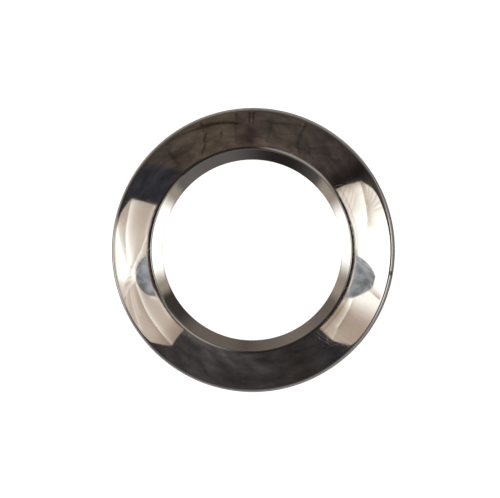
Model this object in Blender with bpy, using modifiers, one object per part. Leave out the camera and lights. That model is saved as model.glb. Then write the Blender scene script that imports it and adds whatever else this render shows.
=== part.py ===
"""Crowned steel washer: one solid ring, turned from bar and polished.

Frame: the origin is at the centre of the hole, on the flat underside.
+Z runs along the axis, out of the crowned face.  Metres throughout.
"""

import math

import bpy

MM = 0.001

# Driving dimensions: those of a washer for a 24 mm bolt.
BORE_RADIUS = 12.35 * MM
RIM_RADIUS = 19.5 * MM
THICKNESS = 4.0 * MM

# Crowned face: it falls from the crest out to the shoulder, ever more steeply.
CREST_RADIUS = 13.94 * MM
CREST_ROUND = 0.35 * MM
FACE_SLOPE_AT_CREST = math.radians(5.5)
FACE_SLOPE_AT_RIM = math.radians(11.5)
SHOULDER_ROUND = 0.6 * MM

# Mouth of the hole: a wide countersink inside the crest.
MOUTH_SLOPE = math.radians(39.0)
LIP_ROUND = 0.15 * MM

# Underside.
FOOT_ROUND = 0.25 * MM
UNDERSIDE_CHAMFER = 1.0 * MM

# Facets.
STEPS_ROUND_AXIS = 120
FACE_FACETS = 8
CREST_FACETS = 5
SHOULDER_FACETS = 5
SMALL_ROUND_FACETS = 3
SHARP_ANGLE = math.radians(36.0)
MERGE_DISTANCE = 0.01 * MM

STEEL_COLOUR = (0.62, 0.59, 0.56, 1.0)
STEEL_ROUGHNESS = 0.08


def clear_scene():
    """Remove whatever the file holds."""
    for item in list(bpy.data.objects):
        bpy.data.objects.remove(item, do_unlink=True)


def arc(centre, radius, start, end, facets):
    """Points of an arc; an angle is the outward normal's lean from +Z towards +X."""
    points = []
    for step in range(facets + 1):
        lean = start + (end - start) * step / facets
        across = centre[0] + radius * math.sin(lean)
        up = centre[1] + radius * math.cos(lean)
        points.append((across, up))
    return points


def face_arc(inner):
    """The crowned face's arc from its inner end to where the shoulder begins."""
    sine_span = math.sin(FACE_SLOPE_AT_RIM) - math.sin(FACE_SLOPE_AT_CREST)
    outer_end = RIM_RADIUS - SHOULDER_ROUND * (1.0 - math.sin(FACE_SLOPE_AT_RIM))
    crown_radius = (outer_end - inner[0]) / sine_span
    centre = (
        inner[0] - crown_radius * math.sin(FACE_SLOPE_AT_CREST),
        inner[1] - crown_radius * math.cos(FACE_SLOPE_AT_CREST),
    )
    return arc(centre, crown_radius, FACE_SLOPE_AT_CREST, FACE_SLOPE_AT_RIM, FACE_FACETS)


def section():
    """Outline of the ring's section, from the crest out, down, back under and up."""
    crest_centre = (CREST_RADIUS, THICKNESS - CREST_ROUND)
    crest = arc(crest_centre, CREST_ROUND, -MOUTH_SLOPE, 0.0, CREST_FACETS)
    crest += arc(crest_centre, CREST_ROUND, 0.0, FACE_SLOPE_AT_CREST, 1)[1:]
    face = face_arc(crest[-1])

    shoulder_centre = (
        RIM_RADIUS - SHOULDER_ROUND,
        face[-1][1] - SHOULDER_ROUND * math.cos(FACE_SLOPE_AT_RIM),
    )
    quarter = math.radians(90.0)
    shoulder = arc(shoulder_centre, SHOULDER_ROUND, FACE_SLOPE_AT_RIM, quarter, SHOULDER_FACETS)

    foot_centre = (RIM_RADIUS - FOOT_ROUND, FOOT_ROUND)
    foot = arc(foot_centre, FOOT_ROUND, quarter, 2.0 * quarter, SMALL_ROUND_FACETS)
    underside_edge = (BORE_RADIUS + UNDERSIDE_CHAMFER, 0.0)
    bore_foot = (BORE_RADIUS, UNDERSIDE_CHAMFER)

    # The lip's round touches the hole's wall and the countersink.
    lip_centre_across = BORE_RADIUS + LIP_ROUND
    gap = crest_centre[0] - CREST_ROUND * math.sin(MOUTH_SLOPE) - lip_centre_across
    gap += LIP_ROUND * math.sin(MOUTH_SLOPE)
    countersink_foot = crest[0][1] - gap * math.tan(MOUTH_SLOPE)
    lip_centre = (lip_centre_across, countersink_foot - LIP_ROUND * math.cos(MOUTH_SLOPE))
    lip = arc(lip_centre, LIP_ROUND, -quarter, -MOUTH_SLOPE, SMALL_ROUND_FACETS)

    return crest + face[1:] + shoulder[1:] + foot + [underside_edge, bore_foot] + lip


def outline_mesh(name, points):
    """A closed outline of edges in the XZ plane."""
    mesh = bpy.data.meshes.new(name)
    vertices = [(across, 0.0, up) for across, up in points]
    edges = [(index, (index + 1) % len(points)) for index in range(len(points))]
    mesh.from_pydata(vertices, edges, [])
    return mesh


def steel():
    """Polished steel."""
    material = bpy.data.materials.new("polished_steel")
    material.use_nodes = True
    shader = material.node_tree.nodes["Principled BSDF"]
    shader.inputs["Base Color"].default_value = STEEL_COLOUR
    shader.inputs["Metallic"].default_value = 1.0
    shader.inputs["Roughness"].default_value = STEEL_ROUGHNESS
    return material


def turned(ring):
    """Turn the ring's outline about Z into its solid, smooth but for its corners."""
    turn = ring.modifiers.new("turn", "SCREW")
    turn.axis = "Z"
    turn.angle = math.radians(360.0)
    turn.steps = STEPS_ROUND_AXIS
    turn.render_steps = STEPS_ROUND_AXIS
    turn.use_merge_vertices = True
    turn.merge_threshold = MERGE_DISTANCE

    outline = ring.data
    evaluated = ring.evaluated_get(bpy.context.evaluated_depsgraph_get())
    ring.data = bpy.data.meshes.new_from_object(evaluated)
    ring.modifiers.clear()
    bpy.data.meshes.remove(outline)
    ring.data.shade_smooth()
    ring.data.set_sharp_from_angle(angle=SHARP_ANGLE)


def washer_ring(collection):
    """The washer's one piece."""
    ring = bpy.data.objects.new("washer_ring", outline_mesh("washer_outline", section()))
    collection.objects.link(ring)
    ring.data.materials.append(steel())
    turned(ring)
    ring.data.name = "washer_ring"


def main():
    clear_scene()
    collection = bpy.data.collections.new("crowned_washer")
    bpy.context.scene.collection.children.link(collection)
    washer_ring(collection)


main()
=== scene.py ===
"""Polished crowned washer: its fine surface, its finish, and the studio it is seen in.

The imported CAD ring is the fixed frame, and one finely turned ring stands for it.  The studio
is a pale floor under soft light.  Overhead hangs what only the polish mirrors: two cloths, one
on each side of the lens, in a dark room.
"""

import logging
import math
from dataclasses import dataclass, field
from enum import Enum
from typing import Sequence, Union

import bpy
from mathutils import Matrix, Vector


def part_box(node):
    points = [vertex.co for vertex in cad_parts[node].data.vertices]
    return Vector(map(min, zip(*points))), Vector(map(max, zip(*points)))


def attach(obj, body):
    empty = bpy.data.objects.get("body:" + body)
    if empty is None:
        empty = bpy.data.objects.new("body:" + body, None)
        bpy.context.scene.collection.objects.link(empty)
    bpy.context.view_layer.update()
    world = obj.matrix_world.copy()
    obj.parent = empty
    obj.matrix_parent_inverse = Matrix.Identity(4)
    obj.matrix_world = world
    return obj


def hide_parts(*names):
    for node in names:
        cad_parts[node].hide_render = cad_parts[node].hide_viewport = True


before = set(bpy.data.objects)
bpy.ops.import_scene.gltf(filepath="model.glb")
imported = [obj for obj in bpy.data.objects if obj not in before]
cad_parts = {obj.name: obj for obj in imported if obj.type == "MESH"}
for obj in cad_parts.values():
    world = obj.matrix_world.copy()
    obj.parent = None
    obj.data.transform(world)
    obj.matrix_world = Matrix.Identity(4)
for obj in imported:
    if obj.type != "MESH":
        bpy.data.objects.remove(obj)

LOG = logging.getLogger("washer")

MM = 0.001
NODE = "washer_ring"
BODY = "root"

# How much of a degree of lean a degree of turn spans, about 20 degrees off the dome's axis.
TURN_SPAN = 0.35
# Half the width of a fold's sharp side, in degrees of lean.
CREASE_BLUR = 0.12
# How finely the clouds on the room's wall run, across their slant, per degree.
CLOUD_SLANT = 0.10

Point = tuple[float, float]
Span = tuple[float, float]
Colour = tuple[float, float, float]
Value = Union[float, bpy.types.NodeSocket]


# ---------------------------------------------------------------------------
# Hand tools
# ---------------------------------------------------------------------------


def object_mode() -> None:
    """Leave edit mode if it is on, and deselect every object."""
    if bpy.context.mode != "OBJECT":
        bpy.ops.object.mode_set(mode="OBJECT")
    bpy.ops.object.select_all(action="DESELECT")


def only(piece: bpy.types.Object) -> None:
    """Make a piece the only selected object, and the active one.

    Args:
        piece: The object to work on next.
    """
    object_mode()
    piece.select_set(True)
    bpy.context.view_layer.objects.active = piece


def bench_view(piece: bpy.types.Object) -> None:
    """Go into edit mode on a piece with nothing in it selected.

    Args:
        piece: The object to edit.
    """
    only(piece)
    bpy.ops.object.mode_set(mode="EDIT")
    bpy.ops.mesh.select_all(action="DESELECT")


class OutlinePen:
    """Draws an outline in the XZ plane, each stroke starting at the last point drawn.

    A point is (distance from the axis, height).  An arc's angles are the outward normal's lean
    from +Z, positive away from the axis.
    """

    def __init__(self, name: str, start: Point) -> None:
        """Set the pen down.

        Args:
            name: The outline's object name.
            start: Its first point.
        """
        object_mode()
        bpy.ops.mesh.primitive_plane_add(size=0.1 * MM, location=(start[0], 0.0, start[1]))
        self.piece = bpy.context.active_object
        self.piece.name = name
        self.piece.data.name = name
        bpy.ops.object.transform_apply(location=True, rotation=True, scale=True)
        bpy.ops.object.mode_set(mode="EDIT")
        bpy.ops.mesh.select_all(action="SELECT")
        bpy.ops.mesh.merge(type="CENTER")
        self.at = start

    def line(self, end: Point, pieces: int = 1) -> None:
        """Draw a straight stroke.

        Args:
            end: Its last point.
            pieces: How many edges it takes.
        """
        stride = ((end[0] - self.at[0]) / pieces, 0.0, (end[1] - self.at[1]) / pieces)
        for _ in range(pieces):
            bpy.ops.mesh.extrude_region_move(TRANSFORM_OT_translate={"value": stride})
        self.at = end

    def arc(self, radius: float, start: float, end: float, pieces: int) -> None:
        """Draw an arc that bulges outwards.

        Args:
            radius: Its radius.
            start: The normal's lean at its first point, in degrees.
            end: The normal's lean at its last point, in degrees.
            pieces: How many edges it takes.
        """
        first, last = math.radians(start), math.radians(end)
        across = self.at[0] - radius * math.sin(first)
        up = self.at[1] - radius * math.cos(first)
        bpy.ops.mesh.spin(
            steps=pieces, angle=last - first, center=(across, 0.0, up), axis=(0.0, -1.0, 0.0)
        )
        self.at = (across + radius * math.sin(last), up + radius * math.cos(last))

    def close(self) -> bpy.types.Object:
        """Join the last point to the first.

        Returns:
            The outline's object, in object mode.
        """
        bpy.ops.mesh.select_all(action="SELECT")
        bpy.ops.mesh.remove_doubles(threshold=0.002 * MM)
        bpy.ops.object.mode_set(mode="OBJECT")
        return self.piece


# ---------------------------------------------------------------------------
# Shader benches and the effects that materials share
# ---------------------------------------------------------------------------


class Bench:
    """Places shader nodes in one tree and joins them."""

    def __init__(self, tree: bpy.types.NodeTree) -> None:
        """Take up a tree.

        Args:
            tree: The node tree to build in.
        """
        self.tree = tree

    def node(self, kind: str, **settings: object) -> bpy.types.Node:
        """Place a node.

        Args:
            kind: Its type, such as ShaderNodeMath.
            settings: Its properties.

        Returns:
            The new node.
        """
        made = self.tree.nodes.new(kind)
        made.location = (180.0 * (len(self.tree.nodes) % 9), -160.0 * (len(self.tree.nodes) // 9))
        for name, setting in settings.items():
            setattr(made, name, setting)
        return made

    def feed(self, socket: bpy.types.NodeSocket, value: object) -> None:
        """Join a socket to another, or set it to a number or colour.

        Args:
            socket: The input.
            value: An output socket, a number or a tuple.
        """
        if isinstance(value, bpy.types.NodeSocket):
            self.tree.links.new(value, socket)
        else:
            socket.default_value = value

    def math(self, operation: str, *values: Value) -> bpy.types.NodeSocket:
        """Place a Math node.

        Args:
            operation: Its operation, such as ADD.
            values: Its inputs in order.

        Returns:
            Its result.
        """
        made = self.node("ShaderNodeMath", operation=operation)
        for socket, value in zip(made.inputs, values):
            self.feed(socket, value)
        return made.outputs[0]

    def chain(self, operation: str, values: Sequence[Value]) -> bpy.types.NodeSocket:
        """Run any number of values through one operation, two at a time.

        Args:
            operation: ADD, MULTIPLY, MINIMUM or MAXIMUM.
            values: The values, two or more.

        Returns:
            The result.
        """
        running = values[0]
        for value in values[1:]:
            running = self.math(operation, running, value)
        return running

    def step(self, value: Value, low: Value, high: Value) -> bpy.types.NodeSocket:
        """Place a smooth step.

        Args:
            value: What to map.
            low: Where the step starts, at 0.
            high: Where it ends, at 1.

        Returns:
            The step's value, 0 to 1.
        """
        made = self.node("ShaderNodeMapRange", interpolation_type="SMOOTHSTEP")
        for name, source in (("Value", value), ("From Min", low), ("From Max", high)):
            self.feed(made.inputs[name], source)
        return made.outputs["Result"]

    def between(self, value: Value, start: Span, end: Span) -> bpy.types.NodeSocket:
        """Mark what lies between two soft ends.

        Args:
            value: What to map.
            start: Where the mark rises, from 0 to 1.
            end: Where it falls again: first the value at 0, then the value at 1.

        Returns:
            A mask, 1 in between.
        """
        return self.math("MULTIPLY", self.step(value, *start), self.step(value, *end))

    def square(self, value: Value) -> bpy.types.NodeSocket:
        """Multiply a value by itself."""
        return self.math("MULTIPLY", value, value)

    def less(self, value: Value) -> bpy.types.NodeSocket:
        """Take a mask away from 1."""
        return self.math("SUBTRACT", 1.0, value)

    def gap(self, first: Value, second: Value) -> bpy.types.NodeSocket:
        """Measure how far apart two values are."""
        return self.math("ABSOLUTE", self.math("SUBTRACT", first, second))

    def fade(self, distance: Value, reach: Value) -> bpy.types.NodeSocket:
        """Fall off from 1 as a distance grows past a reach."""
        return self.math("EXPONENT", self.math("DIVIDE", self.math("MULTIPLY", distance, -1.0), reach))

    def vector(self, **parts: Value) -> bpy.types.NodeSocket:
        """Put a vector together from its X, Y and Z; a part left out is 0."""
        made = self.node("ShaderNodeCombineXYZ")
        for name, value in parts.items():
            self.feed(made.inputs[name], value)
        return made.outputs[0]

    def parts(self, vector: Value) -> tuple[bpy.types.NodeSocket, ...]:
        """Take a vector apart into its X, Y and Z."""
        made = self.node("ShaderNodeSeparateXYZ")
        self.feed(made.inputs[0], vector)
        return tuple(made.outputs)

    def lit(self, colour: Value, light: Value) -> bpy.types.NodeSocket:
        """Multiply a colour by an amount of light."""
        made = self.node("ShaderNodeVectorMath", operation="SCALE")
        self.feed(made.inputs[0], colour)
        self.feed(made.inputs["Scale"], light)
        return made.outputs[0]

    def mix(self, share: Value, first: object, second: object) -> bpy.types.NodeSocket:
        """Mix two colours.

        Args:
            share: How much of the second, 0 to 1.
            first: A colour or a socket.
            second: A colour or a socket.

        Returns:
            The mixed colour.
        """
        made = self.node("ShaderNodeMix", data_type="RGBA")
        self.feed(made.inputs["Factor"], share)
        colours = [socket for socket in made.inputs if socket.type == "RGBA"]
        for socket, colour in zip(colours, (first, second)):
            self.feed(socket, colour if isinstance(colour, bpy.types.NodeSocket) else (*colour, 1.0))
        return next(socket for socket in made.outputs if socket.type == "RGBA")

    def noise(self, vector: Value, scale: float, detail: float = 2.0) -> bpy.types.NodeSocket:
        """Place a Noise texture.

        Args:
            vector: Where to read it.
            scale: Its scale.
            detail: Its octaves.

        Returns:
            Its value, about 0.5.
        """
        made = self.node("ShaderNodeTexNoise")
        self.feed(made.inputs["Vector"], vector)
        made.inputs["Scale"].default_value = scale
        made.inputs["Detail"].default_value = detail
        return made.outputs["Fac"]

    def use(self, group: bpy.types.NodeTree, **values: object) -> bpy.types.Node:
        """Place an effect group.

        Args:
            group: The group.
            values: Its inputs; an underscore in a name stands for a space.

        Returns:
            The group's node.
        """
        made = self.node("ShaderNodeGroup")
        made.node_tree = group
        for name, value in values.items():
            self.feed(made.inputs[name.replace("_", " ")], value)
        return made


class Effect:
    """A shader node group with named inputs and outputs, built once and used by name."""

    def __init__(self, name: str, inputs: dict[str, object], outputs: Sequence[str]) -> None:
        """Start a group.

        Args:
            name: Its name.
            inputs: Its inputs and their defaults: a number, or None for a vector.
            outputs: Its outputs, all numbers.
        """
        self.tree = bpy.data.node_groups.new(name, "ShaderNodeTree")
        for label, default in inputs.items():
            kind = "NodeSocketVector" if default is None else "NodeSocketFloat"
            socket = self.tree.interface.new_socket(name=label, in_out="INPUT", socket_type=kind)
            if default is not None:
                socket.default_value = default
        for label in outputs:
            self.tree.interface.new_socket(
                name=label, in_out="OUTPUT", socket_type="NodeSocketFloat"
            )
        self.bench = Bench(self.tree)
        self.given = self.bench.node("NodeGroupInput").outputs
        self.result = self.bench.node("NodeGroupOutput").inputs

    def put(self, label: str, value: Value) -> None:
        """Send a value to one of the group's outputs."""
        self.bench.feed(self.result[label], value)


def polar_place() -> bpy.types.NodeTree:
    """Build the group that says where a point of a round piece lies.

    Returns:
        A group that puts out the distance from the axis and the height in millimetres, and the
        direction round the axis in degrees.
    """
    effect = Effect("polar place", {"Position": None}, ("Radius", "Height", "Turn"))
    bench = effect.bench
    across, along, up = bench.parts(effect.given["Position"])
    square = bench.math("ADD", bench.square(across), bench.square(along))
    effect.put("Radius", bench.math("MULTIPLY", bench.math("SQRT", square), 1.0 / MM))
    effect.put("Height", bench.math("MULTIPLY", up, 1.0 / MM))
    effect.put("Turn", bench.math("DEGREES", bench.math("ARCTAN2", along, across)))
    return effect.tree


def hairlines() -> bpy.types.NodeTree:
    """Build the group for fine straight scratches that lie in one direction.

    Returns:
        A group that puts out a mask, 1 in a scratch.
    """
    given = {"Position": None, "Direction": 0.0, "Fineness": 9.0, "Length": 4.0, "Amount": 0.5}
    effect = Effect("hairlines", given, ("Mask",))
    bench = effect.bench
    turned = bench.node("ShaderNodeMapping")
    bench.feed(turned.inputs["Vector"], effect.given["Position"])
    turn = bench.vector(Z=bench.math("RADIANS", effect.given["Direction"]))
    bench.feed(turned.inputs["Rotation"], turn)
    along, across, _ = bench.parts(turned.outputs[0])
    along = bench.math("DIVIDE", bench.math("MULTIPLY", along, 1.0 / MM), effect.given["Length"])
    across = bench.math("MULTIPLY", bench.math("MULTIPLY", across, 1.0 / MM), effect.given["Fineness"])
    streak = bench.noise(bench.vector(X=along, Y=across, Z=effect.given["Direction"]), 1.0, 1.0)
    threshold = bench.math("SUBTRACT", 0.78, bench.math("MULTIPLY", effect.given["Amount"], 0.2))
    patch = bench.noise(effect.given["Position"], 160.0, 1.0)
    mask = bench.step(streak, threshold, bench.math("ADD", threshold, 0.06))
    effect.put("Mask", bench.math("MULTIPLY", mask, bench.step(patch, 0.38, 0.62)))
    return effect.tree


def turning_marks() -> bpy.types.NodeTree:
    """Build the group for the fine rings that a lathe or a polishing wheel leaves.

    Returns:
        A group that puts out a value about 0, which changes only across the rings.
    """
    given = {"Across": 0.0, "Up": 0.0, "Turn": 0.0, "Fineness": 14.0}
    effect = Effect("turning marks", given, ("Value",))
    bench = effect.bench
    fineness = effect.given["Fineness"]
    place = bench.vector(
        X=bench.math("MULTIPLY", effect.given["Across"], fineness),
        Y=bench.math("MULTIPLY", effect.given["Up"], fineness),
        Z=bench.math("SINE", bench.math("RADIANS", effect.given["Turn"])),
    )
    effect.put("Value", bench.math("SUBTRACT", bench.noise(place, 1.0, 3.0), 0.5))
    return effect.tree


def edge_wear() -> bpy.types.NodeTree:
    """Build the group for the small dull nicks along a round edge.

    Returns:
        A group that puts out a mask, 1 in a nick.
    """
    given = {"Position": None, "Radius": 0.0, "At": 0.0, "Width": 0.3}
    effect = Effect("edge wear", given, ("Mask",))
    bench = effect.bench
    gap = bench.gap(effect.given["Radius"], effect.given["At"])
    near = bench.less(bench.step(gap, 0.0, effect.given["Width"]))
    nicks = bench.noise(effect.given["Position"], 2600.0, 3.0)
    stretches = bench.noise(effect.given["Position"], 210.0, 1.0)
    worn = bench.math("MULTIPLY", bench.step(nicks, 0.56, 0.70), bench.step(stretches, 0.40, 0.62))
    effect.put("Mask", bench.math("MULTIPLY", near, worn))
    return effect.tree


# ---------------------------------------------------------------------------
# The ring
# ---------------------------------------------------------------------------


@dataclass(frozen=True)
class PolishedSteel:
    """Bright steel off the polishing wheel, handled since.

    The face and the countersink are a mirror with hairlines and a few smears.  The wall keeps
    faint turning marks, and the underside and the hole's wall are left as turned.
    """

    name: str = "polished_steel"
    colour: Colour = (0.62, 0.59, 0.56)
    stained: Colour = (0.55, 0.52, 0.485)
    scratched: Colour = (0.70, 0.68, 0.66)
    painted_dark_reflection: Colour = (0.10, 0.09, 0.085)
    # a painted dark reflection, a dark spot on the shoulder: its place in degrees, and how far its soft sides
    # reach
    dark_reflection_turn: float = -9.5
    dark_reflection_reach: Span = (1.3, 0.5)
    dark_reflection_depth: Span = (0.40, 0.25)
    # heights and depths in millimetres between which one part gives way to the next
    wall_to_face: Span = (2.3, 2.7)
    foot_to_wall: Span = (0.12, 0.30)
    hole_to_mouth: Span = (0.02, 0.06)
    # how much of each other colour shows
    smear_share: float = 0.45
    scratch_share: float = 0.3
    wear_share: float = 0.6
    dark_reflection_share: float = 0.9
    wear_width: float = 0.28
    smear_fineness: float = 240.0
    film_fineness: float = 900.0
    ripple_fineness: float = 210.0
    # how much of the turning marks is left on the polished parts
    marks_left: float = 0.12
    mirror_roughness: float = 0.022
    smear_roughness: float = 0.03
    scratch_roughness: float = 0.07
    turned_roughness: float = 0.17
    hairline_depth: float = 0.00025 * MM
    marks_depth: float = 0.0016 * MM
    ripple_depth: float = 0.012 * MM
    # direction in degrees, fineness in lines a millimetre, length in millimetres, amount
    scratches: tuple[tuple[float, float, float, float], ...] = (
        (38.0, 13.0, 5.0, 0.75),
        (-52.0, 15.0, 3.5, 0.60),
        (82.0, 12.0, 6.0, 0.50),
        (-12.0, 17.0, 2.5, 0.45),
    )

    def build(self, crest: float, rim: float, bore: float) -> bpy.types.Material:
        """Make the material.

        Args:
            crest: The crest's radius in metres.
            rim: The outside radius in metres.
            bore: The hole's radius in metres.

        Returns:
            The material.
        """
        material = bpy.data.materials.new(self.name)
        material.use_nodes = True
        bench = Bench(material.node_tree)
        shader = material.node_tree.nodes["Principled BSDF"]
        shader.inputs["Metallic"].default_value = 1.0

        position = bench.node("ShaderNodeTexCoord").outputs["Object"]
        place = bench.use(polar_place(), Position=position)
        radius, height, turn = (place.outputs[name] for name in ("Radius", "Height", "Turn"))

        lines = hairlines()
        masks = [
            bench.use(
                lines, Position=position, Direction=direction, Fineness=fineness, Length=length, Amount=amount
            ).outputs["Mask"]
            for direction, fineness, length, amount in self.scratches
        ]
        scratched = bench.math("MINIMUM", bench.chain("ADD", masks), 1.0)
        face = bench.step(height, *self.wall_to_face)
        scratched = bench.math("MULTIPLY", scratched, face)

        wear = edge_wear()
        nicks = [
            bench.use(
                wear, Position=position, Radius=radius, At=at / MM, Width=self.wear_width
            ).outputs["Mask"]
            for at in (crest, rim)
        ]
        worn = bench.math("MAXIMUM", *nicks)

        # Painted dark reflection: a dark spot of base colour on the shoulder, near the rim.
        near_dark_reflection = bench.step(bench.gap(turn, self.dark_reflection_turn), *self.dark_reflection_reach)
        outermost = bench.step(radius, *(rim / MM - depth for depth in self.dark_reflection_depth))
        dark_reflection_mask = bench.chain("MULTIPLY", [near_dark_reflection, outermost, face])

        # Left as turned: the underside and the foot of the wall, and the wall of the hole.
        low = bench.less(bench.step(height, *self.foot_to_wall))
        inside = bench.less(bench.step(radius, *(bore / MM + depth for depth in self.hole_to_mouth)))
        turned = bench.math("MAXIMUM", low, inside)
        marks = bench.use(turning_marks(), Across=radius, Up=height, Turn=turn).outputs["Value"]

        smear = bench.step(bench.noise(position, self.smear_fineness, 4.0), 0.42, 0.72)
        film = bench.step(bench.noise(position, self.film_fineness, 5.0), 0.50, 0.75)
        dulled = bench.math("MULTIPLY", smear, bench.math("ADD", 0.55, bench.math("MULTIPLY", film, 0.45)))

        base = bench.mix(bench.math("MULTIPLY", dulled, self.smear_share), self.colour, self.stained)
        base = bench.mix(bench.math("MULTIPLY", scratched, self.scratch_share), base, self.scratched)
        base = bench.mix(bench.math("MULTIPLY", worn, self.wear_share), base, self.stained)
        base = bench.mix(bench.math("MULTIPLY", dark_reflection_mask, self.dark_reflection_share), base, self.painted_dark_reflection)
        bench.feed(shader.inputs["Base Color"], base)

        rough = bench.chain(
            "ADD",
            [
                self.mirror_roughness,
                bench.math("MULTIPLY", dulled, self.smear_roughness),
                bench.math("MULTIPLY", scratched, self.scratch_roughness),
                bench.math("MULTIPLY", worn, self.scratch_roughness),
                bench.math("MULTIPLY", turned, self.turned_roughness),
            ],
        )
        bench.feed(shader.inputs["Roughness"], rough)

        ripple = bench.noise(position, self.ripple_fineness, 1.0)
        ripple = bench.math("MULTIPLY", ripple, self.ripple_depth)
        grooves = bench.math("MULTIPLY", scratched, -self.hairline_depth)
        share = bench.math("MULTIPLY_ADD", turned, 1.0 - self.marks_left, self.marks_left)
        rings = bench.chain("MULTIPLY", [marks, share, self.marks_depth])
        relief = bench.node("ShaderNodeBump")
        relief.inputs["Distance"].default_value = 1.0
        bench.feed(relief.inputs["Height"], bench.chain("ADD", [ripple, grooves, rings]))
        bench.feed(shader.inputs["Normal"], relief.outputs["Normal"])
        return material


@dataclass
class CrownedRing:
    """The washer's one piece: a section turned about Z."""

    name: str = "polished_ring"
    crest_radius: float = 13.94 * MM
    crest_round: float = 0.35 * MM
    face_slope_at_crest: float = 5.5
    face_slope_at_rim: float = 11.5
    shoulder_round: float = 0.6 * MM
    mouth_slope: float = 39.0
    lip_round: float = 0.15 * MM
    foot_round: float = 0.25 * MM
    underside_chamfer: float = 1.0 * MM
    steps_round_axis: int = 360
    finish: PolishedSteel = field(default_factory=PolishedSteel)

    def __post_init__(self) -> None:
        """Take the hole's radius, the rim's radius and the thickness from the CAD ring."""
        low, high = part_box(NODE)
        self.rim_radius: float = high.x
        self.base: float = low.z
        self.thickness: float = high.z - low.z
        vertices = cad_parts[NODE].data.vertices
        self.bore_radius: float = min(math.hypot(vertex.co.x, vertex.co.y) for vertex in vertices)

    def outline(self) -> bpy.types.Object:
        """Draw the section: face, shoulder, wall, underside, hole and countersink.

        Returns:
            The closed outline.
        """
        rim, bore = self.rim_radius, self.bore_radius
        top = self.base + self.thickness
        pen = OutlinePen(self.name, (self.crest_radius, top))
        pen.arc(self.crest_round, 0.0, self.face_slope_at_crest, 2)

        slopes = math.radians(self.face_slope_at_crest), math.radians(self.face_slope_at_rim)
        face_end = rim - self.shoulder_round * (1.0 - math.sin(slopes[1]))
        crown = (face_end - pen.at[0]) / (math.sin(slopes[1]) - math.sin(slopes[0]))
        pen.arc(crown, self.face_slope_at_crest, self.face_slope_at_rim, 28)
        pen.arc(self.shoulder_round, self.face_slope_at_rim, 90.0, 16)

        pen.line((rim, self.base + self.foot_round), 4)
        pen.arc(self.foot_round, 90.0, 180.0, 8)
        pen.line((bore + self.underside_chamfer, self.base), 6)
        pen.line((bore, self.base + self.underside_chamfer), 3)

        mouth = math.radians(self.mouth_slope)
        mouth_top_across = self.crest_radius - self.crest_round * math.sin(mouth)
        mouth_top_up = top - self.crest_round * (1.0 - math.cos(mouth))
        lip_end = bore + self.lip_round * (1.0 - math.sin(mouth))
        lip_end_up = mouth_top_up - (mouth_top_across - lip_end) * math.tan(mouth)
        lip_start_up = lip_end_up - self.lip_round * math.cos(mouth)
        pen.line((bore, lip_start_up), 4)
        pen.arc(self.lip_round, -90.0, -self.mouth_slope, 6)
        pen.line((mouth_top_across, mouth_top_up), 5)
        pen.arc(self.crest_round, -self.mouth_slope, 0.0, 12)
        return pen.close()

    def turn(self, piece: bpy.types.Object) -> None:
        """Turn the outline about Z and close the seam.

        Args:
            piece: The outline's object.
        """
        bench_view(piece)
        bpy.ops.mesh.select_all(action="SELECT")
        bpy.ops.mesh.spin(
            steps=self.steps_round_axis, angle=math.tau, center=(0.0, 0.0, 0.0), axis=(0.0, 0.0, 1.0)
        )
        bpy.ops.mesh.select_all(action="SELECT")
        bpy.ops.mesh.remove_doubles(threshold=0.002 * MM)
        bpy.ops.mesh.normals_make_consistent(inside=False)
        object_mode()

    def build(self) -> bpy.types.Object:
        """Model the ring, shade it and dress it.

        Returns:
            The finished ring.
        """
        piece = self.outline()
        self.turn(piece)
        only(piece)
        bpy.ops.object.shade_smooth_by_angle(angle=math.radians(30.0))
        weighted = piece.modifiers.new("even_normals", "WEIGHTED_NORMAL")
        weighted.keep_sharp = True
        bpy.ops.object.modifier_apply(modifier=weighted.name)
        piece.data.materials.clear()
        piece.data.materials.append(
            self.finish.build(self.crest_radius, self.rim_radius, self.bore_radius)
        )
        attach(piece, BODY)
        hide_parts(NODE)
        LOG.info("%s: %d faces", piece.name, len(piece.data.polygons))
        return piece


# ---------------------------------------------------------------------------
# The studio
# ---------------------------------------------------------------------------


class Seen(Enum):
    """What a piece of the studio shows up in."""

    EVERYWHERE = "everywhere"
    REFLECTIONS = "reflections"


def upright_on(axis: Vector) -> Matrix:
    """Turn something so that its Z lies along an axis and its X stays level.

    Args:
        axis: A unit vector near +Z.

    Returns:
        The turn.
    """
    right = Vector((0.0, 1.0, 0.0)).cross(axis).normalized()
    return Matrix((right, axis.cross(right), axis)).transposed().to_4x4()


def on_stage(piece: bpy.types.Object, seen: Seen) -> None:
    """Set which rays see a piece of the studio.

    Args:
        piece: The piece.
        seen: Whether it shows to the camera and lights the floor, or shows only in the polish.
    """
    if seen is Seen.REFLECTIONS:
        piece.visible_camera = False
        piece.visible_diffuse = False
        piece.visible_shadow = False
        piece.visible_transmission = False
        piece.visible_volume_scatter = False


def line_gap() -> bpy.types.NodeTree:
    """Build the group that measures from a line on the dome.

    Places on the dome are given by their turn round its axis and their lean from it, both in
    degrees; a degree of turn counts as much as it spans at the cloths' height.

    Returns:
        A group that puts out how far a place is above the line and how far along it.
    """
    given = {"Turn": 0.0, "Lean": 0.0, "At Turn": 0.0, "At Lean": 0.0, "Tilt": 0.0}
    effect = Effect("line gap", given, ("Above", "Along"))
    bench = effect.bench
    aside = bench.math("SUBTRACT", effect.given["Turn"], effect.given["At Turn"])
    aside = bench.math("MULTIPLY", aside, TURN_SPAN)
    up = bench.math("SUBTRACT", effect.given["Lean"], effect.given["At Lean"])
    angle = bench.math("RADIANS", effect.given["Tilt"])
    sine, cosine = bench.math("SINE", angle), bench.math("COSINE", angle)
    up_across, aside_across = bench.math("MULTIPLY", up, cosine), bench.math("MULTIPLY", aside, sine)
    up_along, aside_along = bench.math("MULTIPLY", up, sine), bench.math("MULTIPLY", aside, cosine)
    effect.put("Above", bench.math("SUBTRACT", up_across, aside_across))
    effect.put("Along", bench.math("ADD", up_along, aside_along))
    return effect.tree


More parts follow.
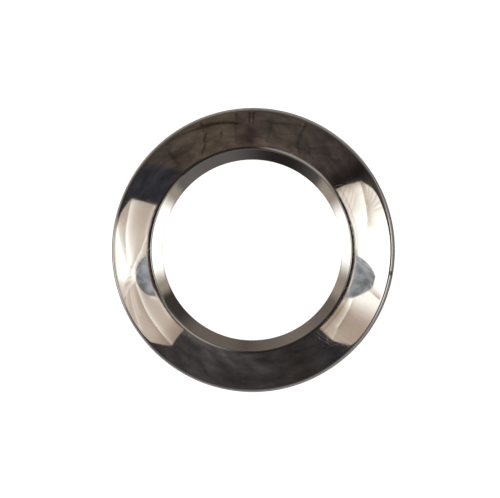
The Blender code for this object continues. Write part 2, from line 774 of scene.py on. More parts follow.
def crease_light(gap: bpy.types.NodeTree) -> bpy.types.NodeTree:
    """Build the group for a fold in a cloth: painted light and shade, one tone above it, another below, both
    fading.

    Args:
        gap: The line gap group.

    Returns:
        A group that puts out how much lighter or darker the fold makes the cloth.
    """
    given = {
        "Turn": 0.0, "Lean": 0.0, "At Turn": 0.0, "At Lean": 0.0, "Tilt": 0.0,
        "Half Length": 4.0, "Above": 0.0, "Below": 0.0, "Reach Above": 1.0, "Reach Below": 1.0,
    }
    effect = Effect("crease light", given, ("Value",))
    bench = effect.bench
    source = effect.given
    line = bench.use(
        gap, Turn=source["Turn"], Lean=source["Lean"],
        At_Turn=source["At Turn"], At_Lean=source["At Lean"], Tilt=source["Tilt"],
    )
    height = line.outputs["Above"]
    over = bench.step(height, -CREASE_BLUR, CREASE_BLUR)
    away = bench.math("ABSOLUTE", height)
    fade_over = bench.fade(away, source["Reach Above"])
    fade_under = bench.fade(away, source["Reach Below"])
    upper = bench.chain("MULTIPLY", [source["Above"], fade_over, over])
    lower = bench.chain("MULTIPLY", [source["Below"], fade_under, bench.less(over)])
    end = bench.math("SUBTRACT", bench.math("ABSOLUTE", line.outputs["Along"]), source["Half Length"])
    inside = bench.less(bench.step(end, -0.5, 0.5))
    effect.put("Value", bench.math("MULTIPLY", bench.math("ADD", upper, lower), inside))
    return effect.tree


@dataclass(frozen=True)
class Crease:
    """A fold in a cloth.

    Turn and lean give its middle, tilt its slope.  Above and below are the painted light and shade it adds on
    its two sides, and the reaches say how soon they fade, in degrees.
    """

    turn: float
    lean: float
    tilt: float
    half_length: float
    above: float
    below: float
    reach_above: float = 1.0
    reach_below: float = 1.0


@dataclass(frozen=True)
class Edge:
    """One straight side of a cloth: a point on it and its tilt; the cloth lies below it."""

    turn: float
    lean: float
    tilt: float


@dataclass(frozen=True)
class Wedge:
    """A blue-grey gusset in a cloth, wide at the lens.

    Its fullness rounds its sides, and it ends at the cap's lean.
    """

    turn: float
    lean: float
    half_width: float
    height: float
    fullness: float
    cap: float
    point_shift: float = 0.0


@dataclass(frozen=True)
class Shade:
    """A soft upright band of another tone across a cloth: painted shade where the tone is below 0, painted
    light where it is above.
    """

    turn: float
    half_width: float
    blur: float
    tone: float


@dataclass(frozen=True)
class Cloth:
    """A folded pale cloth: its outline, its base tone of painted light and shade from 0, tan in shade, to 1,
    white in light, and its folds.

    The drape is the stretch that hangs further out than the rest.
    """

    name: str
    edges: tuple[Edge, ...]
    tone: float
    shades: tuple[Shade, ...]
    creases: tuple[Crease, ...]
    drape: Shade
    wedge: Wedge
    signed_turn: bool


@dataclass(frozen=True)
class Window:
    """A low window: its middle, half its width, and how far its curtains reach beyond it."""

    turn: float
    half_width: float
    curtain: float
    signed_turn: bool


@dataclass(frozen=True)
class Patch:
    """A stretch of the room of another colour: its middle, half its width and its soft ends."""

    turn: float
    half_width: float
    blur: float
    colour: Colour


@dataclass(frozen=True)
class Streak:
    """A soft upright mark on the dark wall: where, how wide in degrees, and how strong."""

    turn: float
    lean: float
    tilt: float
    half_length: float
    width: float
    strength: float


LEFT_CLOTH = Cloth(
    name="left",
    edges=(
        Edge(156.5, 20.0, 85.0),
        Edge(228.8, 20.0, -89.0),
        Edge(158.8, 25.4, 38.0),
        Edge(225.1, 24.6, -60.0),
        Edge(192.0, 15.3, 180.0),
    ),
    tone=0.24,
    shades=(
        Shade(177.0, 8.0, 14.0, 0.16),
        Shade(215.0, 9.0, 12.0, 0.08),
        Shade(226.0, 4.0, 6.0, -0.12),
    ),
    creases=(
        Crease(171.8, 23.6, -11.9, 5.5, -0.14, 0.58, 0.8, 2.0),
        Crease(179.0, 24.9, -36.0, 4.2, 0.62, 0.30, 3.0, 1.3),
        Crease(190.5, 24.6, 98.0, 4.2, 0.55, 0.70, 2.6, 1.7),
        Crease(197.6, 24.1, 72.0, 3.4, 0.25, -0.10, 0.8, 0.5),
        Crease(192.0, 22.6, 84.0, 1.1, -0.5, -0.5, 0.10, 0.10),
        Crease(194.7, 24.0, 82.0, 1.3, -0.45, -0.45, 0.10, 0.12),
        Crease(201.5, 26.2, 46.0, 1.7, 0.34, 0.24, 0.20, 0.45),
        Crease(206.0, 25.4, 29.0, 3.4, 0.05, 0.36, 0.20, 0.55),
        Crease(203.0, 23.6, 22.0, 2.4, 0.18, 0.22, 0.25, 0.35),
        Crease(213.0, 21.7, 4.0, 6.1, -0.22, 0.48, 1.0, 1.0),
        Crease(229.8, 18.4, -90.0, 7.0, 0.0, -0.25, 1.0, 1.1),
        Crease(163.0, 15.9, 3.7, 3.2, 0.36, 0.20, 0.45, 0.2),
        Crease(176.0, 16.8, 27.4, 1.7, -0.05, 0.52, 0.5, 0.55),
        Crease(183.0, 18.8, 49.4, 1.7, -0.10, 0.50, 0.5, 0.75),
        Crease(188.0, 20.9, 51.0, 1.4, -0.10, 0.60, 0.4, 0.9),
        Crease(205.2, 17.1, -61.0, 1.2, 0.46, 0.3, 0.45, 0.3),
        Crease(213.0, 15.7, -7.0, 2.3, 0.24, 0.24, 0.4, 0.3),
        Crease(176.0, 15.4, 2.0, 9.0, 0.0, -1.0, 0.3, 2.0),
    ),
    drape=Shade(184.5, 16.0, 9.0, 1.0),
    wedge=Wedge(194.0, 15.9, 10.9, 5.0, 1.65, 21.2, 1.0),
    signed_turn=False,
)

RIGHT_CLOTH = Cloth(
    name="right",
    edges=(
        Edge(-48.5, 19.0, 88.0),
        Edge(-46.0, 24.6, 75.5),
        Edge(33.6, 19.6, -84.5),
        Edge(30.4, 25.0, -50.0),
        Edge(25.0, 26.8, -27.0),
        Edge(-7.0, 15.3, 180.0),
    ),
    tone=1.0,
    shades=(
        Shade(-44.0, 15.5, 11.0, -0.76),
        Shade(-24.0, 4.0, 6.0, -0.12),
        Shade(-38.0, 4.0, 9.0, -0.12),
        Shade(25.0, 7.0, 10.0, -0.26),
        Shade(34.5, 3.0, 5.0, -0.22),
    ),
    creases=(
        Crease(-20.6, 25.1, 102.6, 2.4, 0.0, -0.72, 1.0, 0.65),
        Crease(-44.2, 20.2, -36.5, 1.5, -0.08, 0.24, 0.8, 1.0),
        Crease(-34.0, 18.9, -11.5, 2.9, -0.14, 0.52, 0.8, 1.1),
        Crease(-38.0, 16.7, 0.0, 4.6, 0.0, -0.45, 0.3, 0.6),
        Crease(-14.0, 15.95, 0.0, 4.8, 0.0, -0.75, 0.3, 0.8),
        Crease(-48.5, 19.5, 88.0, 3.6, 0.0, 0.20, 0.3, 0.25),
        Crease(23.0, 22.1, 22.6, 4.0, -0.40, 0.26, 2.0, 1.6),
        Crease(17.0, 21.2, 24.0, 2.8, -0.16, 0.0, 1.2, 0.8),
        Crease(13.5, 20.5, 20.0, 2.6, -0.10, 0.0, 1.0, 0.8),
        Crease(12.0, 16.5, 3.0, 8.0, 0.0, -0.38, 0.3, 0.5),
        Crease(33.4, 19.6, -84.5, 5.0, 0.0, -0.55, 1.0, 0.8),
        *(Crease(18.4 + 2.3 * fan, 26.1 - 0.3 * fan, 88.0 - 9.0 * fan, 1.5, -0.30, 0.24, 0.22, 0.22)
          for fan in range(5)),
        *(Crease(25.6 + 2.3 * fan, 18.6 - 0.35 * fan, 57.0 + 3.5 * fan, 2.5, -0.30, 0.10, 0.30, 0.25)
          for fan in range(4)),
    ),
    drape=Shade(0.0, 0.0, 0.1, 0.0),
    wedge=Wedge(-15.0, 15.9, 11.9, 8.5, 1.3, 23.5, 0.6),
    signed_turn=True,
)


@dataclass
class MirroredRoom:
    """The dome that only the polish shows: a dark room, two cloths by the lens, low windows.

    Each half has one cloth and its own surface.
    """

    name: str = "mirrored_room"
    streak_overlap: float = 8.0
    darkest_mark: float = 0.3
    # leans in degrees between which one part of the dome gives way to the next
    lens_edge: Span = (14.9, 14.6)
    drape_start: Span = (26.6, 27.4)
    drape_end: Span = (66.0, 56.0)
    foot_start: Span = (44.0, 68.0)
    frieze_start: Span = (46.0, 56.0)
    frieze_end: Span = (69.0, 62.0)
    window_start: Span = (69.0, 73.0)
    window_end: Span = (86.0, 82.0)
    window_spread: float = 0.7
    window_spread_end: float = 88.0
    radius: float = 1.2
    cloths: tuple[Cloth, ...] = (LEFT_CLOTH, RIGHT_CLOTH)
    far_wall: Colour = (0.100, 0.080, 0.069)
    near_wall: Colour = (0.060, 0.055, 0.059)
    left_corner: Colour = (0.046, 0.046, 0.056)
    corner_turn: float = 121.5
    corner_slant: float = 0.75
    lens_gap: Colour = (0.46, 0.44, 0.41)
    lens_gaps: tuple[Shade, Shade] = (Shade(60.0, 22.0, 18.0, 1.0), Shade(232.0, 20.0, 30.0, 1.0))
    # The cloths' painted light and shade: the hue of a cloth in shade, at tone 0, and in light, at tone 1,
    # and its brightness in shade.
    cloth_in_shade: Colour = (0.83, 0.655, 0.525)
    cloth_in_light: Colour = (1.0, 1.02, 0.99)
    shade_brightness: float = 0.65
    tone_contrast: float = 3.08
    gusset: Colour = (0.575, 0.635, 0.715)
    gusset_shade: Colour = (0.20, 0.205, 0.22)
    # how finely the gussets are mottled, per degree of turn and of lean
    gusset_grain: Span = (0.20, 0.22)
    lens: Colour = (0.03, 0.028, 0.027)
    low_far_wall: Colour = (0.205, 0.175, 0.160)
    low_near_wall: Colour = (0.165, 0.155, 0.157)
    low_patches: tuple[Patch, ...] = (
        Patch(92.0, 5.0, 16.0, (0.148, 0.115, 0.107)),
        Patch(124.0, 12.0, 20.0, (0.255, 0.220, 0.202)),
        Patch(306.0, 9.0, 18.0, (0.200, 0.190, 0.190)),
        Patch(246.0, 20.0, 34.0, (0.028, 0.025, 0.025)),
        Patch(39.0, 14.0, 18.0, (0.066, 0.056, 0.052)),
    )
    frieze: Colour = (0.40, 0.38, 0.37)
    curtain: Colour = (0.48, 0.42, 0.36)
    window: Colour = (1.90, 1.92, 1.92)
    curtain_blur: float = 7.0
    window_blur: float = 13.0
    windows: tuple[Window, ...] = (
        Window(186.5, 7.5, 16.5, False),
        Window(-7.5, 15.0, 12.0, True),
    )
    patches: tuple[Patch, ...] = (
        Patch(111.0, 14.0, 16.0, (0.124, 0.099, 0.076)),
        Patch(92.0, 4.5, 5.0, (0.098, 0.070, 0.064)),
        Patch(52.0, 12.0, 12.0, (0.074, 0.060, 0.056)),
        Patch(243.0, 10.0, 16.0, (0.077, 0.070, 0.075)),
        Patch(292.0, 7.0, 18.0, (0.043, 0.038, 0.036)),
        Patch(309.0, 5.0, 7.0, (0.040, 0.038, 0.044)),
        Patch(37.0, 5.5, 10.0, (0.026, 0.021, 0.021)),
    )
    streaks: tuple[Streak, ...] = (
        Streak(90.2, 25.6, 90.0, 3.0, 0.14, -0.80),
        Streak(92.0, 25.6, 90.0, 3.0, 0.12, -0.72),
        Streak(91.6, 19.0, 90.0, 3.4, 0.94, -0.45),
        Streak(97.6, 26.0, 90.0, 2.4, 0.16, -0.56),
        Streak(98.5, 19.8, 90.0, 3.6, 0.19, -0.35),
        Streak(82.0, 20.0, 90.0, 3.4, 0.16, -0.32),
        Streak(83.0, 24.3, 0.0, 1.4, 0.50, -0.40),
        Streak(75.0, 24.6, -24.0, 3.2, 0.41, -0.42),
        Streak(104.5, 24.4, 24.0, 3.6, 0.46, -0.80),
        Streak(112.0, 25.0, 10.0, 1.6, 0.41, -0.64),
        Streak(123.0, 26.2, 22.0, 4.2, 0.27, -0.64),
        Streak(113.2, 25.8, 90.0, 2.4, 0.16, -0.96),
        Streak(113.4, 21.4, 106.0, 1.8, 0.22, -0.98),
        Streak(115.8, 18.0, 115.0, 2.2, 0.19, -0.80),
        Streak(105.5, 20.7, 92.0, 1.2, 0.23, -0.88),
        Streak(131.2, 21.6, 90.0, 3.4, 0.30, -0.38),
        Streak(133.0, 25.0, 74.0, 2.4, 0.90, -0.18),
        Streak(67.6, 25.6, 90.0, 2.4, 0.14, -0.80),
        Streak(68.6, 25.6, 84.0, 2.2, 0.14, 0.60),
        Streak(67.4, 21.0, 84.0, 2.6, 0.22, -0.80),
        Streak(64.6, 17.4, 66.0, 2.0, 0.24, -0.58),
        Streak(72.5, 22.0, -40.0, 1.4, 0.14, 0.68),
        Streak(72.9, 21.7, -40.0, 1.4, 0.19, -0.64),
        Streak(56.5, 23.2, -60.0, 3.6, 0.19, 0.45),
        Streak(51.0, 21.0, -56.0, 4.6, 0.27, 0.24),
        Streak(61.0, 19.6, 64.0, 3.0, 0.41, -0.29),
        Streak(86.0, 18.2, 0.0, 2.2, 0.16, -0.32),
        Streak(103.0, 18.4, 20.0, 1.6, 0.61, 0.42),
        Streak(126.0, 20.0, 70.0, 3.2, 1.08, -0.26),
        Streak(249.0, 20.4, 58.0, 4.2, 1.22, 0.39),
        Streak(257.0, 18.0, 52.0, 3.0, 0.81, 0.45),
        Streak(239.0, 22.4, 60.0, 4.0, 0.68, 0.24),
        Streak(246.0, 23.0, 62.0, 3.0, 0.41, -0.35),
        Streak(270.0, 19.6, 30.0, 3.4, 1.49, 0.36),
        Streak(276.5, 17.4, 20.0, 1.1, 0.54, -0.48),
        Streak(262.0, 25.0, 56.0, 3.0, 1.08, -0.26),
        Streak(245.0, 15.9, 0.0, 9.0, 1.22, 0.60),
        Streak(78.0, 15.9, 0.0, 8.0, 1.08, 0.45),
    )

    def cloth_mask(self, bench: Bench, gap: bpy.types.NodeTree, cloth: Cloth, place: dict) -> Value:
        """Shape a cloth.

        Args:
            bench: Where to build.
            gap: The line gap group.
            cloth: The cloth.
            place: The Turn and Lean sockets.

        Returns:
            A mask, 1 on the cloth.
        """
        outside: Value = -90.0
        for edge in cloth.edges:
            line = bench.use(gap, **place, At_Turn=edge.turn, At_Lean=edge.lean, Tilt=edge.tilt)
            outside = bench.math("MAXIMUM", outside, line.outputs["Above"])
        return bench.math("SUBTRACT", 1.0, bench.step(outside, -0.09, 0.09))

    def wedge_mask(self, bench: Bench, cloth: Cloth, place: dict) -> tuple[Value, Value]:
        """Shape a cloth's gusset.

        Args:
            bench: Where to build.
            cloth: The cloth.
            place: The Turn and Lean sockets.

        Returns:
            A mask, 1 on the gusset, and another, 1 along its sides, where the gusset is painted in shade.
        """
        wedge = cloth.wedge
        rise = bench.math("DIVIDE", bench.math("SUBTRACT", place["Lean"], wedge.lean), wedge.height)
        above_base = bench.step(rise, -0.03, 0.03)
        rise = bench.math("MAXIMUM", rise, 0.0)
        middle = bench.math("MULTIPLY_ADD", rise, wedge.point_shift, wedge.turn)
        aside = bench.math("DIVIDE", bench.gap(place["Turn"], middle), wedge.half_width)
        reach = bench.math(
            "ADD", bench.math("POWER", aside, wedge.fullness), bench.math("POWER", rise, wedge.fullness)
        )
        under_cap = bench.step(place["Lean"], wedge.cap + 0.15, wedge.cap - 0.15)
        inside = bench.chain("MULTIPLY", [bench.step(reach, 1.05, 0.95), above_base, under_cap])
        return inside, bench.step(reach, 0.62, 1.0)

    @staticmethod
    def sector(bench: Bench, turn: Value, middle: float, half: Value, blur: float) -> Value:
        """Mark a sector of the room.

        Args:
            bench: Where to build.
            turn: The direction round the axis, in degrees.
            middle: The sector's middle.
            half: Half its width.
            blur: How soft its ends are.

        Returns:
            A mask, 1 in the sector.
        """
        past = bench.math("SUBTRACT", bench.gap(turn, middle), half)
        return bench.step(past, 0.5 * blur, -0.5 * blur)

    @staticmethod
    def streak_marks(bench: Bench, gap: bpy.types.NodeTree, streaks: list[Streak], place: dict) -> Value:
        """Draw the streaks on the wall.

        Args:
            bench: Where to build.
            gap: The line gap group.
            streaks: The streaks.
            place: The Turn and Lean sockets.

        Returns:
            A factor about 1, lower on a dark streak.
        """
        marks: Value = 1.0
        for streak in streaks:
            line = bench.use(gap, **place, At_Turn=streak.turn, At_Lean=streak.lean, Tilt=streak.tilt)
            across = bench.math("DIVIDE", line.outputs["Above"], streak.width)
            bell = bench.math("EXPONENT", bench.math("MULTIPLY", bench.square(across), -1.0))
            along = bench.math("ABSOLUTE", line.outputs["Along"])
            past = bench.math("SUBTRACT", along, streak.half_length)
            mark = bench.math("MULTIPLY", bell, bench.step(past, 1.0, -1.5))
            marks = bench.math("MULTIPLY_ADD", mark, streak.strength, marks)
        return marks

    def patched(self, bench: Bench, turn: Value, wall: Value, patches: Sequence[Patch]) -> Value:
        """Lay patches of other colours over a wall.

        Args:
            bench: Where to build.
            turn: The direction round the axis, in degrees.
            wall: The wall's colour.
            patches: The patches, the last on top.

        Returns:
            The colour.
        """
        for patch in patches:
            reach = self.sector(bench, turn, patch.turn, patch.half_width, patch.blur)
            wall = bench.mix(reach, wall, patch.colour)
        return wall

    def room_colour(
        self, bench: Bench, gap: bpy.types.NodeTree, streaks: list[Streak], turns: dict, lean: Value
    ) -> Value:
        """Colour the dark room.

        Args:
            bench: Where to build.
            gap: The line gap group.
            streaks: The marks on this half's wall.
            turns: The direction round the axis, from 0 to 360 and signed.
            lean: The lean from the axis.

        Returns:
            The colour.
        """
        whole = turns["whole"]
        side = bench.math("SINE", bench.math("RADIANS", whole))
        wall = bench.mix(bench.step(side, -0.25, 0.25), self.near_wall, self.far_wall)
        wall = self.patched(bench, whole, wall, self.patches)
        corner_line = bench.math("MULTIPLY_ADD", lean, self.corner_slant, self.corner_turn)
        beyond = bench.math("SUBTRACT", whole, corner_line)
        corner = bench.math("MULTIPLY", bench.step(beyond, -2.2, 2.2), bench.step(whole, 190.0, 180.0))
        wall = bench.mix(corner, wall, self.left_corner)
        marks = self.streak_marks(bench, gap, streaks, {"Turn": whole, "Lean": lean})
        slope = bench.math("MULTIPLY_ADD", lean, -CLOUD_SLANT, bench.math("MULTIPLY", whole, CLOUD_SLANT))
        brushed = bench.vector(X=slope, Y=bench.math("MULTIPLY", lean, 0.22))
        mottle = bench.noise(brushed, 5.0, 3.0)
        cloud = bench.math("MULTIPLY_ADD", bench.noise(brushed, 1.4, 6.0), 1.9, 0.05)
        cloud = bench.math("ADD", cloud, bench.math("MULTIPLY_ADD", mottle, 0.8, -0.4))
        shade = bench.math("MULTIPLY", cloud, bench.math("MAXIMUM", marks, self.darkest_mark))
        return bench.lit(wall, shade)

    def low_colour(self, bench: Bench, turns: dict, lean: Value) -> Value:
        """Colour the foot of the room, with a curtained window on each side.

        Args:
            bench: Where to build.
            turns: The direction round the axis, from 0 to 360 and signed.
            lean: The lean from the axis.

        Returns:
            The colour.
        """
        whole, signed = turns["whole"], turns["signed"]
        side = bench.math("SINE", bench.math("RADIANS", whole))
        wall = bench.mix(bench.step(side, -0.3, 0.3), self.low_near_wall, self.low_far_wall)
        wall = self.patched(bench, whole, wall, self.low_patches)
        frieze = bench.between(lean, self.frieze_start, self.frieze_end)
        facing = bench.step(bench.math("ABSOLUTE", side), 0.45, 0.75)
        wall = bench.mix(bench.math("MULTIPLY", frieze, facing), wall, self.frieze)
        left_to_spread = bench.math("SUBTRACT", self.window_spread_end, lean)
        spread = bench.math("MULTIPLY", left_to_spread, self.window_spread)
        sill = bench.between(lean, self.window_start, self.window_end)
        for window in self.windows:
            turn = signed if window.signed_turn else whole
            for colour, half, blur in (
                (self.curtain, window.half_width + window.curtain, self.curtain_blur),
                (self.window, window.half_width, self.window_blur),
            ):
                half = bench.math("ADD", spread, half)
                reach = bench.math("MULTIPLY", sill, self.sector(bench, turn, window.turn, half, blur))
                wall = bench.mix(reach, wall, colour)
        return wall

    def cloth_colour(
        self, bench: Bench, crease: bpy.types.NodeTree, cloth: Cloth, place: dict
    ) -> bpy.types.NodeSocket:
        """Colour a cloth with the painted light and shade of its folds, from tan in shade to white in light.

        Args:
            bench: Where to build.
            crease: The crease light group.
            cloth: The cloth.
            place: The Turn and Lean sockets.

        Returns:
            The colour.
        """
        # Painted light and shade of the folds, as a tone from 0, in shade, to 1, in light.
        tone: Value = cloth.tone
        for band in cloth.shades:
            reach = self.sector(bench, place["Turn"], band.turn, band.half_width, band.blur)
            tone = bench.math("MULTIPLY_ADD", reach, band.tone, tone)
        for fold in cloth.creases:
            light = bench.use(
                crease, **place, At_Turn=fold.turn, At_Lean=fold.lean, Tilt=fold.tilt,
                Half_Length=fold.half_length, Above=fold.above, Below=fold.below,
                Reach_Above=fold.reach_above, Reach_Below=fold.reach_below,
            )
            tone = bench.math("ADD", tone, light.outputs["Value"])
        tone = bench.math("MINIMUM", bench.math("MAXIMUM", tone, -1.0), 1.0)
        hue = bench.mix(bench.math("MAXIMUM", tone, 0.0), self.cloth_in_shade, self.cloth_in_light)
        light = bench.math("MULTIPLY", bench.math("POWER", self.tone_contrast, tone), self.shade_brightness)
        return bench.lit(hue, light)

    def cloth_outline(self, bench: Bench, gap: bpy.types.NodeTree, cloth: Cloth, place: dict) -> Value:
        """Shape a cloth together with its drape.

        Args:
            bench: Where to build.
            gap: The line gap group.
            cloth: The cloth.
            place: The Turn and Lean sockets.

        Returns:
            A mask, 1 on the cloth.
        """
        outline = self.cloth_mask(bench, gap, cloth, place)
        drape = cloth.drape
        if drape.tone > 0.0:
            hung = self.sector(bench, place["Turn"], drape.turn, drape.half_width, drape.blur)
            further = bench.between(place["Lean"], self.drape_start, self.drape_end)
            outline = bench.math("MAXIMUM", outline, bench.chain("MULTIPLY", [hung, further, drape.tone]))
        return outline

    def gusset_colour(self, bench: Bench, whole: Value, lean: Value) -> bpy.types.NodeSocket:
        """Colour the gussets, mottled between their blue-grey and its painted shade."""
        grain = bench.vector(
            X=bench.math("MULTIPLY", whole, self.gusset_grain[0]),
            Y=bench.math("MULTIPLY", lean, self.gusset_grain[1]),
        )
        mottle = bench.step(bench.noise(grain, 1.0, 4.0), 0.30, 0.70)
        return bench.mix(mottle, self.gusset_shade, self.gusset)

    def lens_colour(self, bench: Bench, whole: Value) -> bpy.types.NodeSocket:
        """Colour the middle of the dome: the dark lens between two lighter gaps."""
        gaps = [
            self.sector(bench, whole, gap.turn, gap.half_width, gap.blur) for gap in self.lens_gaps
        ]
        return bench.mix(bench.math("MAXIMUM", *gaps), self.lens, self.lens_gap)

    def material(
        self, cloth: Cloth, gap: bpy.types.NodeTree, crease: bpy.types.NodeTree
    ) -> bpy.types.Material:
        """Make the glowing surface of one half of the room.

        Args:
            cloth: The half's cloth.
            gap: The line gap group.
            crease: The crease light group.

        Returns:
            The material.
        """
        material = bpy.data.materials.new(f"{self.name}_{cloth.name}")
        material.use_nodes = True
        tree = material.node_tree
        tree.nodes.clear()
        bench = Bench(tree)
        middle = 0.0 if cloth.signed_turn else 180.0
        streaks = [
            streak for streak in self.streaks
            if abs((streak.turn - middle + 180.0) % 360.0 - 180.0) < 90.0 + self.streak_overlap
        ]

        across, along, up = bench.parts(bench.node("ShaderNodeTexCoord").outputs["Object"])
        signed = bench.math("DEGREES", bench.math("ARCTAN2", along, across))
        whole = bench.math("FLOORED_MODULO", signed, 360.0)
        square = bench.math("ADD", bench.square(across), bench.square(along))
        lean = bench.math("DEGREES", bench.math("ARCTAN2", bench.math("SQRT", square), up))
        turns = {"whole": whole, "signed": signed}
        place = {"Turn": signed if cloth.signed_turn else whole, "Lean": lean}

        gusset = self.gusset_colour(bench, whole, lean)
        colour = self.room_colour(bench, gap, streaks, turns, lean)
        cloth_colour = self.cloth_colour(bench, crease, cloth, place)
        colour = bench.mix(self.cloth_outline(bench, gap, cloth, place), colour, cloth_colour)
        inside, side = self.wedge_mask(bench, cloth, place)
        # Painted shade along the gusset's sides.
        shaded = bench.mix(bench.math("MULTIPLY", side, 0.6), gusset, self.gusset_shade)
        colour = bench.mix(inside, colour, shaded)
        colour = bench.mix(bench.step(lean, *self.lens_edge), colour, self.lens_colour(bench, whole))
        foot = bench.step(lean, *self.foot_start)
        colour = bench.mix(foot, colour, self.low_colour(bench, turns, lean))

        glow = bench.node("ShaderNodeEmission")
        bench.feed(glow.inputs["Color"], colour)
        surface = bench.node("ShaderNodeOutputMaterial")
        bench.feed(surface.inputs["Surface"], glow.outputs[0])
        return material

    def build(self, centre: Vector, axis: Vector) -> bpy.types.Object:
        """Build the dome round the ring, its axis along the mirrored line of sight.

        Args:
            centre: The dome's centre.
            axis: Its axis, pointing up.

        Returns:
            The dome.
        """
        object_mode()
        bpy.ops.mesh.primitive_uv_sphere_add(segments=96, ring_count=48, radius=self.radius)
        dome = bpy.context.active_object
        dome.name = self.name
        bench_view(dome)
        bpy.ops.mesh.select_all(action="SELECT")
        bpy.ops.mesh.bisect(
            plane_co=(0.0, 0.0, -0.12 * self.radius), plane_no=(0.0, 0.0, 1.0), clear_inner=True
        )
        bpy.ops.mesh.select_all(action="SELECT")
        bpy.ops.mesh.flip_normals()
        object_mode()
        dome.matrix_world = Matrix.Translation(centre) @ upright_on(axis)
        gap = line_gap()
        crease = crease_light(gap)
        for cloth in self.cloths:
            dome.data.materials.append(self.material(cloth, gap, crease))
        for face in dome.data.polygons:
            face.material_index = 1 if face.center.x > 0.0 else 0
        on_stage(dome, Seen.REFLECTIONS)
        LOG.info("%s: %d faces", dome.name, len(dome.data.polygons))
        return dome


@dataclass
class PaleFloor:
    """The plain pale floor that the ring lies on, and the soft light all round it."""

    name: str = "pale_floor"
    size: float = 5.0
    colour: Colour = (0.90, 0.90, 0.895)
    light: float = 0.95
    glow: float = 0.55

    def build(self) -> bpy.types.Object:
        """Lay the floor and light it.

        Returns:
            The floor.
        """
        object_mode()
        bpy.ops.mesh.primitive_grid_add(x_subdivisions=4, y_subdivisions=4, size=self.size)
        floor = bpy.context.active_object
        floor.name = self.name
        material = bpy.data.materials.new(self.name)
        material.use_nodes = True
        shader = material.node_tree.nodes["Principled BSDF"]
        shader.inputs["Base Color"].default_value = (*self.colour, 1.0)
        shader.inputs["Roughness"].default_value = 0.9
        shader.inputs["Specular IOR Level"].default_value = 0.0
        bench = Bench(material.node_tree)
        shader.inputs["Emission Color"].default_value = (1.0, 1.0, 1.0, 1.0)
        seen = bench.node("ShaderNodeLightPath").outputs["Is Camera Ray"]
        bench.feed(shader.inputs["Emission Strength"], bench.math("MULTIPLY", seen, self.glow))
        floor.data.materials.append(material)
        on_stage(floor, Seen.EVERYWHERE)
        self.light_up()
        LOG.info("%s: %.1f m square", floor.name, self.size)
        return floor

    def light_up(self) -> None:
        """Light the floor evenly from all round; the polish mirrors the room instead."""
        world = bpy.data.worlds.new("soft_light")
        world.use_nodes = True
        background = world.node_tree.nodes["Background"]
        background.inputs["Color"].default_value = (1.0, 1.0, 1.0, 1.0)
        background.inputs["Strength"].default_value = self.light
        world.cycles_visibility.glossy = False
        bpy.context.scene.world = world


@dataclass
class Card:
    """A flat glowing card that only the polish shows: a bright disc under the hole, painted light, or a grey
    ring outside, a painted contact shadow.

    Its glow changes to the far glow within its reach, measured from its inner edge, so the grey ring's
    painted shadow is darkest by the ring.
    """

    name: str
    inner_radius: float
    outer_radius: float
    height: float
    glow: Colour
    far_glow: Colour
    reach: float = 11.0 * MM

    def build(self) -> bpy.types.Object:
        """Cut the card out and lay it on the floor.

        Returns:
            The card.
        """
        object_mode()
        bpy.ops.mesh.primitive_circle_add(
            vertices=120, radius=self.outer_radius, fill_type="NGON", location=(0.0, 0.0, self.height)
        )
        card = bpy.context.active_object
        card.name = self.name
        bpy.ops.object.transform_apply(location=True, rotation=True, scale=True)
        if self.inner_radius > 0.0:
            bpy.ops.object.mode_set(mode="EDIT")
            bpy.ops.mesh.select_all(action="SELECT")
            bpy.ops.mesh.inset(thickness=self.outer_radius - self.inner_radius)
            bpy.ops.mesh.delete(type="FACE")
        object_mode()
        material = bpy.data.materials.new(self.name)
        material.use_nodes = True
        shader = material.node_tree.nodes["Principled BSDF"]
        shader.inputs["Base Color"].default_value = (0.0, 0.0, 0.0, 1.0)
        shader.inputs["Specular IOR Level"].default_value = 0.0
        shader.inputs["Emission Strength"].default_value = 1.0
        bench = Bench(material.node_tree)
        place = bench.use(polar_place(), Position=bench.node("ShaderNodeTexCoord").outputs["Object"])
        start = self.inner_radius / MM
        further = bench.step(place.outputs["Radius"], start, start + self.reach / MM)
        bench.feed(shader.inputs["Emission Color"], bench.mix(further, self.glow, self.far_glow))
        card.data.materials.append(material)
        on_stage(card, Seen.REFLECTIONS)
        LOG.info("%s: %.0f mm across", card.name, 2.0 * self.outer_radius / MM)
        return card


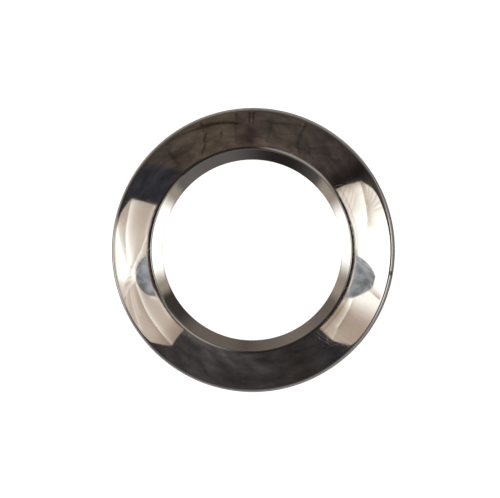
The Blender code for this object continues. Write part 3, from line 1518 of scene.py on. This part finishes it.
@dataclass
class LineOfSight:
    """The camera: nearly square-on, leaning a little to one side of the axis."""

    lens: float = 150.0
    sensor: float = 36.0
    lean: float = 7.0
    lean_towards: float = -3.0
    ring_share: float = 0.567
    shift_right: float = 0.0085
    shift_down: float = 0.0035

    def direction(self, side: float = 1.0) -> Vector:
        """Give the direction from the ring to the camera.

        Args:
            side: 1 for the camera's side of the axis, -1 for the mirrored one.

        Returns:
            A unit vector.
        """
        lean, turn = math.radians(self.lean), math.radians(self.lean_towards)
        across = math.sin(lean) * side
        return Vector((across * math.cos(turn), across * math.sin(turn), math.cos(lean)))

    def build(self, width: float, middle: Vector) -> bpy.types.Object:
        """Place the camera so that the ring takes its share of the frame.

        Args:
            width: The ring's outside diameter.
            middle: The ring's middle.

        Returns:
            The camera.
        """
        back = self.direction()
        turn = upright_on(back)
        right, up = turn.col[0].to_3d(), turn.col[1].to_3d()
        distance = width / self.ring_share * self.lens / self.sensor
        aim = middle - right * (self.shift_right * width) + up * (self.shift_down * width)
        data = bpy.data.cameras.new("camera")
        data.lens = self.lens
        data.sensor_width = self.sensor
        data.clip_start, data.clip_end = 0.01, 10.0
        camera = bpy.data.objects.new("camera", data)
        bpy.context.scene.collection.objects.link(camera)
        camera.matrix_world = Matrix.Translation(aim + back * distance) @ turn
        bpy.context.scene.camera = camera
        return camera


def main() -> None:
    """Build the ring, the studio and the camera, and note the sizes."""
    logging.basicConfig(level=logging.INFO, format="%(name)s: %(message)s")
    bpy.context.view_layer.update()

    ring = CrownedRing()
    ring.build()

    sight = LineOfSight()
    top = Vector((0.0, 0.0, ring.base + ring.thickness))
    middle = Vector((0.0, 0.0, ring.base + 0.5 * ring.thickness))
    PaleFloor().build()
    # Painted light: a glowing disc under the hole, seen only in the polish.
    Card(
        name="glow_under_hole", inner_radius=0.0, outer_radius=ring.bore_radius - 0.1 * MM,
        height=ring.base + 0.3 * MM, glow=(1.6, 1.6, 1.56), far_glow=(1.6, 1.6, 1.56),
    ).build()
    # Painted contact shadow: a grey ring round the ring, seen only in the polish, darkest by the ring and
    # lighter further out.
    Card(
        name="painted_contact_shadow_card", inner_radius=ring.rim_radius + 0.05 * MM, outer_radius=3.0 * ring.rim_radius,
        height=ring.base + 0.05 * MM, glow=(0.155, 0.147, 0.142), far_glow=(0.46, 0.45, 0.44),
    ).build()
    MirroredRoom().build(top, sight.direction(-1.0))
    sight.build(2.0 * ring.rim_radius, middle)
    bpy.context.scene.view_settings.view_transform = "Standard"


if __name__ == "__main__":
    main()
